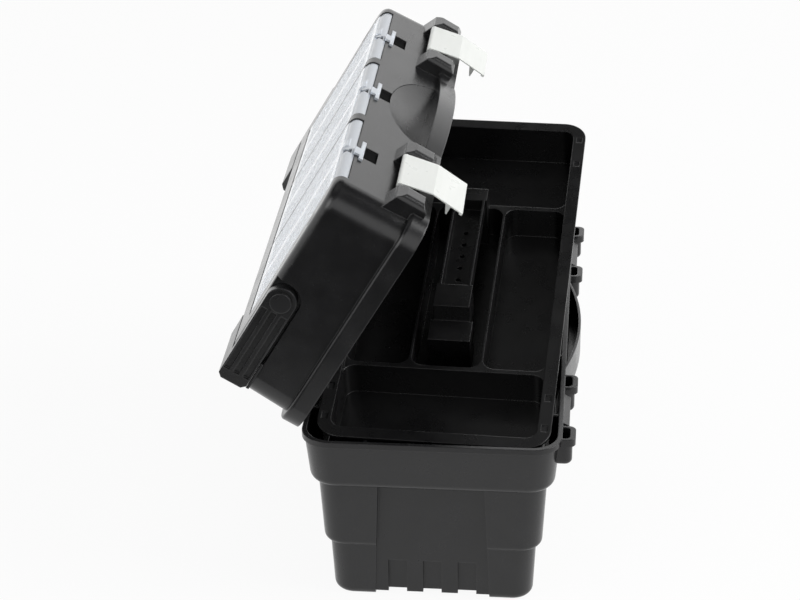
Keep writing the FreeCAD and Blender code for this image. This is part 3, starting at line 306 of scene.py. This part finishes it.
def drawn_steel():
    finish = Finish("drawn_steel")
    lines = finish.noise(
        scale=900.0, detail=3.0, roughness=0.6, place=finish.stretched((0.03, 1.0, 1.0)),
    )
    finish.set({
        "Base Color": finish.blend(lines, (0.42, 0.42, 0.44, 1), (0.62, 0.62, 0.64, 1)),
        "Roughness": finish.across(lines, 0.22, 0.38),
        "Metallic": 1.0,
    })
    finish.bump(lines, strength=0.1, distance=WIRE_DEPTH)
    return finish.material


latch_silver = latch_plate()
pin_steel = drawn_steel()
print("metal finishes:", latch_silver.name, pin_steel.name)

# %% [markdown]
# ## Dressing the CAD nodes
# The CAD solids already have the moulded shapes, so they stay in view and only
# take a finish. Modelling a bevel on every edge would be the other way, but the
# black finishes round their own edges and so keep the solids as they are.

# %% Dress the CAD nodes
NODE_FINISHES = {
    "base_bin": box_black,
    "lid_shell": box_black,
    "tray": tray_black,
    "carry_handle": handle_black,
    "handle_pivot_left": handle_black,
    "handle_pivot_right": handle_black,
    "latch_left": latch_silver,
    "latch_right": latch_silver,
    "latch_pin_left": pin_steel,
    "latch_pin_right": pin_steel,
    "hinge_pin_left": pin_steel,
    "hinge_pin_right": pin_steel,
    "cover_left": cover_clear,
    "cover_middle": cover_clear,
    "cover_right": cover_clear,
}
for node_name, finish in NODE_FINISHES.items():
    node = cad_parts[node_name]
    node.data.materials.clear()
    node.data.materials.append(finish)
print("dressed", len(NODE_FINISHES), "CAD nodes")

# %% [markdown]
# ## Pieces that turn with the lid
# The pieces below belong to the open lid. Drawing them at its slant would be
# awkward, so each is laid out with the lid shut, measured forward and up from
# the lid's hinge, and its mesh is then turned by the angle that the lid is open.

# %% Lay a piece on the lid
LID_OPEN = math.radians(59.4)

hinge_low, hinge_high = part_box("hinge_pin_left")
hinge = (hinge_low + hinge_high) / 2
hinge.x = 0.0
LID_TURN = Matrix.Translation(hinge) @ Matrix.Rotation(-LID_OPEN, 4, "X")


def finished_mesh(mesh, name):
    """Turns an edited mesh into mesh data."""
    made = bpy.data.meshes.new(name)
    mesh.to_mesh(made)
    mesh.free()
    return made


def lay_on(body, shape, centre, finish):
    """Adds a piece that was laid out with the lid shut, and lets it ride on its body."""
    piece = bpy.data.objects.new(shape.name, shape)
    bpy.context.scene.collection.objects.link(piece)
    shape.transform(LID_TURN @ Matrix.Translation((centre, 0, 0)))
    shape.materials.append(finish)
    bpy.context.view_layer.update()
    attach(piece, body)
    return piece


print("lid hinge at", [round(value, 4) for value in hinge])

# %% [markdown]
# ## Section of a clear cover
# Each cover is one clear moulding. Seen from its end it is a flat plate that
# rolls over the lid's front edge and ends in a short lip. That section is a list
# of points, each with the direction that points out of the plate, so that
# grooves and the lip can be sunk straight into the surface.

# %% Section of a clear cover
PLATE_HEIGHT = 91.4 * MM
PLATE_BACK = 81.3 * MM
PLATE_STEPS = 24
EDGE_START = 237.3 * MM
EDGE_RADIUS = 9.0 * MM
EDGE_STEPS = 10
LIP_DROP = 11.0 * MM


def cover_section():
    """Points from the hinge to the lip: forward, up, and the way out of the plate."""
    points = []
    for step in range(PLATE_STEPS):
        forward = PLATE_BACK + (EDGE_START - PLATE_BACK) * step / PLATE_STEPS
        points.append((forward, PLATE_HEIGHT, 0.0, 1.0))
    for step in range(EDGE_STEPS + 1):
        turn = math.pi / 2 * step / EDGE_STEPS
        out_forward, out_up = math.sin(turn), math.cos(turn)
        points.append((
            EDGE_START + EDGE_RADIUS * out_forward,
            PLATE_HEIGHT - EDGE_RADIUS + EDGE_RADIUS * out_up,
            out_forward, out_up,
        ))
    points.append((EDGE_START + EDGE_RADIUS, PLATE_HEIGHT - LIP_DROP, 1.0, 0.0))
    return points


section = cover_section()
print("cover section has", len(section), "points")

# %% [markdown]
# ## Ribs, slot and thumb pad of a cover
# A cover has fine ribs from hinge to lip, a bow-tie slot that lets the lip
# spring, and a raised pad for the thumb. A plain sheet with a rib texture would
# look flat at this grazing angle, so the ribs are real grooves. These helpers
# say where the columns of the cover's grid stand and how deep each point lies.

# %% Columns and depths of a cover
COVER_HALF = 71.6 * MM
LIP_HALF = 67.0 * MM
LIP_SINK = 0.9 * MM
CORNER_ROUND = 6.0 * MM
RIB_PITCH = 4.4 * MM
GROOVE_DEPTH = 0.6 * MM
GROOVE_SHARE = 0.45
SMOOTH_END = 7.0 * MM
SLOT_SHIFT = -6.5 * MM
SLOT_END_HALF = 5.5 * MM
SLOT_WAIST_HALF = 1.6 * MM
SLOT_SPACE = 1.0 * MM
SLOT_FIRST_ROW = PLATE_STEPS + 2
SLOT_LAST_ROW = PLATE_STEPS + 9
PAD_NEAR = 3.0 * MM
PAD_FAR = 22.0 * MM
PAD_LAST_ROW = PLATE_STEPS + 6


def half_width(forward):
    """Half the cover's length, drawn in by a rounded corner just behind the lip."""
    inward = forward - (EDGE_START - CORNER_ROUND)
    if inward <= 0:
        return COVER_HALF
    share = min(inward / CORNER_ROUND, 1.0)
    return LIP_HALF + (COVER_HALF - LIP_HALF) * math.sqrt(1.0 - share * share)


def rib_columns():
    """Places along the cover as (place, groove depth), with the slot's two edges exact."""
    columns = []
    count = int(2 * COVER_HALF / RIB_PITCH)
    pitch = 2 * COVER_HALF / count
    for rib in range(count):
        start = pitch * rib - COVER_HALF
        columns.append((start, 0.0))
        columns.append((start + pitch * (1 - GROOVE_SHARE), 0.0))
        columns.append((start + pitch * (1 - GROOVE_SHARE / 2), GROOVE_DEPTH))
    columns.append((COVER_HALF, 0.0))
    near, far = SLOT_SHIFT - SLOT_END_HALF, SLOT_SHIFT + SLOT_END_HALF
    clear = [c for c in columns if not near - SLOT_SPACE < c[0] < far + SLOT_SPACE]
    return sorted(clear + [(near, 0.0), (far, 0.0)])


def slot_narrowing(row):
    """How far each side of the slot comes in at one row: nothing at its ends, most at its waist."""
    along = (row - SLOT_FIRST_ROW) / (SLOT_LAST_ROW - SLOT_FIRST_ROW)
    return (SLOT_END_HALF - SLOT_WAIST_HALF) * max(0.0, 1.0 - abs(2 * along - 1.0))


def sink_at(row, forward, place, groove):
    """How deep a point lies: in a groove on the plate, or on the lip around its pad."""
    if row > PLATE_STEPS:
        on_pad = row <= PAD_LAST_ROW and PAD_NEAR <= place <= PAD_FAR
        return 0.0 if on_pad else LIP_SINK
    on_ribs = PLATE_BACK + SMOOTH_END < forward < EDGE_START - SMOOTH_END
    return groove if on_ribs else 0.0


columns = rib_columns()
print("a cover's grid has", len(section), "rows and", len(columns), "columns")

# %% [markdown]
# ## The cover plates
# The grid of rows and columns becomes a single skin, with one column of faces
# left out where the slot is. A Solidify modifier then gives it the thickness of
# the sheet, which keeps the mesh short. Each plate takes the place of its plain
# CAD cover and rides on that cover's body, so it opens with it.

# %% The cover plates
COVERS = ("left", "middle", "right")
SHEET = 2.0 * MM
INWARDS = -1.0


def cover_mesh(name):
    slot_near = [place for place, groove in columns].index(SLOT_SHIFT - SLOT_END_HALF)
    mesh = bmesh.new()
    grid = []
    for row, (forward, up, out_forward, out_up) in enumerate(section):
        line = []
        for index, (place, groove) in enumerate(columns):
            x = place * half_width(forward) / COVER_HALF
            if index == slot_near:
                x = place + slot_narrowing(row)
            elif index == slot_near + 1:
                x = place - slot_narrowing(row)
            sink = sink_at(row, forward, place, groove)
            line.append(mesh.verts.new((x, sink * out_forward - forward, up - sink * out_up)))
        grid.append(line)
    for row, (line, after) in enumerate(zip(grid, grid[1:])):
        for index in range(len(columns) - 1):
            in_slot = index == slot_near and SLOT_FIRST_ROW <= row < SLOT_LAST_ROW
            if not in_slot:
                mesh.faces.new((line[index], after[index], after[index + 1], line[index + 1]))
    return finished_mesh(mesh, name)


def cover_centre(side):
    """Where the middle of a cover stands along the lid."""
    low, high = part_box("cover_" + side)
    return (low.x + high.x) / 2


for side in COVERS:
    node_name = "cover_" + side
    plate = lay_on(
        side + "_cover", cover_mesh(node_name + "_plate"), cover_centre(side),
        cover_clear,
    )
    wall = plate.modifiers.new("sheet", "SOLIDIFY")
    wall.thickness = SHEET
    wall.offset = INWARDS
    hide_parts(node_name)
    print(plate.name, "has", len(plate.data.polygons), "faces before its thickness")

# %% [markdown]
# ## Pulls and hinge barrels of the covers
# A fingertip pulls a cover up by the T at its lip, over a pocket in the lid's
# front. The barrel at the other end turns on two stub pins in the lid. Both are
# plain shapes, so two boxes sheared to the lid's sloping front and a cylinder
# are enough.

# %% Shapes of a pull and a barrel
FRONT_SLOPE = 4.0 / 92.0
PULL_NEAR = -15.0 * MM
PULL_FAR = 24.0 * MM
PULL_HIGH = 76.6 * MM
PULL_LOW = 72.4 * MM
PULL_INNER = -0.4 * MM
PULL_OUTER = 2.4 * MM
STEM_HALF = 7.0 * MM
STEM_HIGH = 82.0 * MM
STEM_OVERLAP = 1.0 * MM
BARREL_RADIUS = 3.3 * MM
BARREL_DROP = 3.4 * MM
BARREL_SIDES = 24
SLAB_FACES = (
    (0, 1, 3, 2), (4, 6, 7, 5), (0, 4, 5, 1), (2, 3, 7, 6), (0, 2, 6, 4), (1, 5, 7, 3),
)


def lid_front(up):
    """How far the lid's sloping front stands forward of the hinge at one height."""
    return EDGE_START + EDGE_RADIUS + (PLATE_HEIGHT - up) * FRONT_SLOPE


def front_slab(mesh, x0, x1, low, high):
    """A box that stands on the lid's sloping front."""
    corners = []
    for up in (low, high):
        for depth in (PULL_INNER, PULL_OUTER):
            for x in (x0, x1):
                corners.append(mesh.verts.new((x, -(lid_front(up) + depth), up)))
    for face in SLAB_FACES:
        mesh.faces.new([corners[number] for number in face])


def pull_mesh(name):
    mesh = bmesh.new()
    front_slab(mesh, SLOT_SHIFT + PULL_NEAR, SLOT_SHIFT + PULL_FAR, PULL_LOW, PULL_HIGH)
    front_slab(
        mesh, SLOT_SHIFT - STEM_HALF, SLOT_SHIFT + STEM_HALF, PULL_HIGH - STEM_OVERLAP, STEM_HIGH,
    )
    return finished_mesh(mesh, name)


def barrel_mesh(name):
    axis = Matrix.Translation((0, -PLATE_BACK, PLATE_HEIGHT - BARREL_DROP))
    mesh = bmesh.new()
    bmesh.ops.create_cone(
        mesh, cap_ends=True, segments=BARREL_SIDES, depth=2 * COVER_HALF,
        radius1=BARREL_RADIUS, radius2=BARREL_RADIUS,
        matrix=axis @ Matrix.Rotation(math.pi / 2, 4, "Y"),
    )
    return finished_mesh(mesh, name)


print("lid front stands", round(lid_front(PULL_LOW), 4), "m ahead of the hinge at the pulls")

# %% Pulls and barrels
PULL_SOFT = 0.6 * MM
PULL_SOFT_STEPS = 2

for side in COVERS:
    node_name = "cover_" + side
    pull = lay_on(
        side + "_cover", pull_mesh(node_name + "_pull"), cover_centre(side),
        cover_clear,
    )
    soft = pull.modifiers.new("soft_edges", "BEVEL")
    soft.width = PULL_SOFT
    soft.segments = PULL_SOFT_STEPS
    barrel = lay_on(
        side + "_cover", barrel_mesh(node_name + "_barrel"), cover_centre(side),
        cover_clear,
    )
    print("added", pull.name, "and", barrel.name)

# %% [markdown]
# ## Finger scoop
# The lid's front has a scoop for the fingers, shallow at its round edge and
# deep at the rim, like half a dish. The CAD solid has the same outline with a
# flat floor. Cutting a dish would change that solid, so a dish is laid over the
# floor instead, as rings that sink from the edge to the middle of the foot.

# %% Finger scoop
SCOOP_HALF = 74.6 * MM
SCOOP_HIGH = 44.6 * MM
SCOOP_FOOT = 15.6 * MM
SCOOP_FLOOR = 239.4 * MM
SCOOP_SKIN = 1.0 * MM
SCOOP_EDGE = 0.3 * MM
SCOOP_POWER = 2.2
SCOOP_TURNS = 40
SCOOP_RINGS = 12
SCOOP_SHARP = math.radians(40.0)


def scoop_rings(mesh, is_front):
    """Half rings from the middle outwards, on the dish in front or on the flat back."""
    deepest = SCOOP_FLOOR + SCOOP_SKIN
    rings = []
    for ring in range(1, SCOOP_RINGS + 1):
        reach = ring / SCOOP_RINGS
        line = []
        for turn in range(SCOOP_TURNS + 1):
            angle = math.pi * turn / SCOOP_TURNS
            x = SCOOP_HALF * reach * math.cos(angle)
            up = SCOOP_FOOT + SCOOP_HIGH * reach * math.sin(angle)
            rise = lid_front(up) - SCOOP_EDGE - deepest
            forward = deepest + rise * reach ** SCOOP_POWER if is_front else SCOOP_FLOOR
            line.append(mesh.verts.new((x, -forward, up)))
        rings.append(line)
    return rings


def foot_line(rings):
    """The straight edge along the foot of a skin, from one end to the other."""
    return [ring[0] for ring in reversed(rings)] + [ring[-1] for ring in rings]


def join_lines(mesh, first, second):
    """A strip of faces between two lines of points."""
    for number in range(len(first) - 1):
        mesh.faces.new((first[number], second[number], second[number + 1], first[number + 1]))


def scoop_mesh():
    """Half a dish: a front skin, a flat back and the wall between them."""
    mesh = bmesh.new()
    front, back = scoop_rings(mesh, True), scoop_rings(mesh, False)
    for rings in (front, back):
        mesh.faces.new(rings[0])
        for inner, outer in zip(rings, rings[1:]):
            join_lines(mesh, inner, outer)
    join_lines(mesh, front[-1], back[-1])
    join_lines(mesh, foot_line(front), foot_line(back))
    bmesh.ops.recalc_face_normals(mesh, faces=mesh.faces)
    made = finished_mesh(mesh, "finger_scoop")
    for face in made.polygons:
        face.use_smooth = True
    made.set_sharp_from_angle(angle=SCOOP_SHARP)
    return made


scoop = lay_on("lid", scoop_mesh(), 0.0, box_black)
print(scoop.name, "has", len(scoop.data.polygons), "faces")

# %% [markdown]
# ## Pull pockets
# Behind each pull is a pocket in the lid's front, so that a fingertip can reach
# under the T. It is dark inside, because hardly any light finds its way back
# out. A deeper hole in the CAD solid would be the other way. Here a thin
# near-black plate with almost no gloss lies on the pocket's floor as painted
# shade, standing in for that darkness.

# %% Pull pockets
POCKET_HALF = 12.3 * MM
POCKET_LOW = 58.6 * MM
POCKET_HIGH = 75.2 * MM
POCKET_FLOOR = 245.35 * MM
POCKET_SHEET = 0.3 * MM
SHADE_SPECKLE_DEPTH = 0.2 * MM


# Painted shade: a near-black matte colour with a faint speckle, so that it is not one flat tone.
def deep_shadow():
    finish = Finish("deep_shadow")
    shade_speckle = finish.noise(scale=400.0)
    finish.set({
        "Base Color": finish.blend(shade_speckle, (0.0015, 0.0015, 0.0016, 1), (0.004, 0.004, 0.0042, 1)),
        "Roughness": finish.across(shade_speckle, 0.8, 0.95),
        "Specular IOR Level": 0.08,
    })
    finish.bump(shade_speckle, strength=0.1, distance=SHADE_SPECKLE_DEPTH)
    return finish.material


def block_mesh(name, low, high):
    """A plain block between two corners."""
    middle = [(a + b) / 2 for a, b in zip(low, high)]
    sides = [b - a for a, b in zip(low, high)]
    mesh = bmesh.new()
    bmesh.ops.create_cube(
        mesh, size=1.0, matrix=Matrix.Translation(middle) @ Matrix.Diagonal((*sides, 1.0)),
    )
    return finished_mesh(mesh, name)


# Each pocket floor gets a plate of painted shade in place of a deeper, darker hole.
pocket_painted_shade = deep_shadow()
for side in COVERS:
    pocket_shade_plate = block_mesh(
        "pull_pocket_shade_" + side,
        (-POCKET_HALF, -POCKET_FLOOR - POCKET_SHEET, POCKET_LOW),
        (POCKET_HALF, -POCKET_FLOOR, POCKET_HIGH),
    )
    pocket = lay_on("lid", pocket_shade_plate, cover_centre(side), pocket_painted_shade)
    print("added", pocket.name)

# %% [markdown]
# ## Handle rests
# The handle's arms lie on a small ledge at each end of the lid. Without it a
# thin white gap shows below the arm, where the solids leave room for the handle
# to turn. A plain block on the lid closes the gap and stays clear of the arm.

# %% Handle rests
REST_NEAR = 237.0 * MM
REST_FAR = 250.0 * MM
REST_BACK = 24.0 * MM
REST_FRONT = 54.0 * MM
REST_LOW = 58.45 * MM
REST_HIGH = 61.3 * MM

for side, sign in (("left", -1), ("right", 1)):
    x0, x1 = sorted((sign * REST_NEAR, sign * REST_FAR))
    ledge = block_mesh(
        "handle_rest_" + side, (x0, -REST_FRONT, REST_LOW), (x1, -REST_BACK, REST_HIGH),
    )
    rest = lay_on("lid", ledge, 0.0, box_black)
    print("added", rest.name)

# %% [markdown]
# ## White paper floor
# The photograph shows the box on white paper. A plain floor takes the box's
# shadow. What the camera and the reflections see of it is lifted towards white
# by the light path, so no extra light falls on the box. In reflections the paper
# fades out in front of the box and brightens behind it, as a studio table does
# that ends near the camera and rises to a lit wall.

# %% Floor
FLOOR_HALF = 9.0
FLOOR_DROP = 0.3 * MM
FLOOR_CORNERS = ((-1, -1), (1, -1), (1, 1), (-1, 1))

floor_mesh = bpy.data.meshes.new("floor")
floor_mesh.from_pydata(
    [(x * FLOOR_HALF, y * FLOOR_HALF, -FLOOR_DROP) for x, y in FLOOR_CORNERS], [], [(0, 1, 2, 3)],
)
floor = bpy.data.objects.new("floor", floor_mesh)
bpy.context.scene.collection.objects.link(floor)
print("floor is", 2 * FLOOR_HALF, "m wide")

# %% White paper
WHITE_SHARE = 0.93
FRONT_END = -0.82
FRONT_START = -0.52
FRONT_LEVEL = 0.05
BEHIND_START = 0.2
BEHIND_END = 0.7
BACKDROP_LEVEL = 1.4


def by_ray(recipe, seen, mirrored, otherwise):
    """A level for camera rays, another for reflected rays and a third for the rest."""
    path = recipe.node("ShaderNodeLightPath").outputs
    unseen = recipe.remap(path["Is Glossy Ray"], 0.0, 1.0, otherwise, mirrored)
    return recipe.remap(path["Is Camera Ray"], 0.0, 1.0, unseen, seen)


def fading(recipe, output, axis, start, end, start_level, end_level):
    """A level that changes along one axis of the given coordinates."""
    place = recipe.node("ShaderNodeTexCoord").outputs[output]
    parts = recipe.node("ShaderNodeSeparateXYZ", {"Vector": place})
    return recipe.remap(parts.outputs[axis], start, end, start_level, end_level, "SMOOTHSTEP")


def white_paper():
    finish = Finish("white_paper")
    finish.set({"Base Color": (0.86, 0.86, 0.86, 1), "Roughness": 0.9})
    level = finish.math(
        "MULTIPLY",
        fading(finish, "Object", "X", FRONT_END, FRONT_START, FRONT_LEVEL, 1.0),
        fading(finish, "Object", "X", BEHIND_START, BEHIND_END, 1.0, BACKDROP_LEVEL),
    )
    glow = finish.node("ShaderNodeEmission", {
        "Color": (1, 1, 1, 1), "Strength": by_ray(finish, 1.0, level, 1.0),
    })
    mix = finish.node("ShaderNodeMixShader", {
        0: by_ray(finish, WHITE_SHARE, WHITE_SHARE, 0.0),
        1: finish.shader.outputs[0],
        2: glow.outputs[0],
    })
    finish.feed(finish.tree.nodes["Material Output"].inputs["Surface"], mix.outputs[0])
    return finish.material


floor_mesh.materials.append(white_paper())
print("floor finish:", floor_mesh.materials[0].name)

# %% [markdown]
# ## Surrounding light
# Soft light comes from all sides. Black plastic shows mostly what it mirrors, so
# the world has a level of its own for reflections: a bright wall low down and a
# dark ceiling, which gives the lid's front its grey and leaves its end black.

# %% Surrounding light
WALL_TOP_LOW = 0.5
WALL_TOP_HIGH = 0.7
CEILING_LEVEL = 0.06
WORLD_LIGHT = 0.42

world = bpy.data.worlds.new("studio")
bpy.context.scene.world = world
world.use_nodes = True
studio = Recipe(world.node_tree)
wall_level = fading(
    studio, "Generated", "Z", WALL_TOP_LOW, WALL_TOP_HIGH, BACKDROP_LEVEL, CEILING_LEVEL,
)
background = world.node_tree.nodes["Background"]
studio.feed(background.inputs["Color"], (1, 1, 1, 1))
studio.feed(background.inputs["Strength"], by_ray(studio, 1.0, wall_level, WORLD_LIGHT))
print("world light at", WORLD_LIGHT)

# %% [markdown]
# ## Lamps
# The key lamp is large and stands in front of the latches, rather low, so the
# latches' lower plates come out whiter than the upper ones. The fill lamp lights
# the covers on the other side, and a weak lamp above softens the shadow. Discs
# of more than a metre give soft edges without any further work.


# %% Lamps
def soft_lamp(name, place, target, size, watts):
    lamp_data = bpy.data.lights.new(name, "AREA")
    lamp_data.shape = "DISK"
    lamp_data.size = size
    lamp_data.energy = watts
    lamp = bpy.data.objects.new(name, lamp_data)
    bpy.context.scene.collection.objects.link(lamp)
    lamp.location = place
    lamp.rotation_mode = "QUATERNION"
    lamp.rotation_quaternion = (Vector(target) - Vector(place)).to_track_quat("-Z", "Y")
    print("lamp", name, "of", watts, "W")


soft_lamp("key", place=(-0.2, -2.7, 1.8), target=(0, 0, 0.3), size=2.6, watts=84.0)
soft_lamp("top", place=(0.2, 0.3, 2.6), target=(0, 0, 0.2), size=2.0, watts=3.0)
soft_lamp("fill", place=(-1.6, 1.6, 1.4), target=(0, 0, 0.2), size=1.6, watts=12.0)
bpy.context.scene.view_settings.view_transform = "Standard"
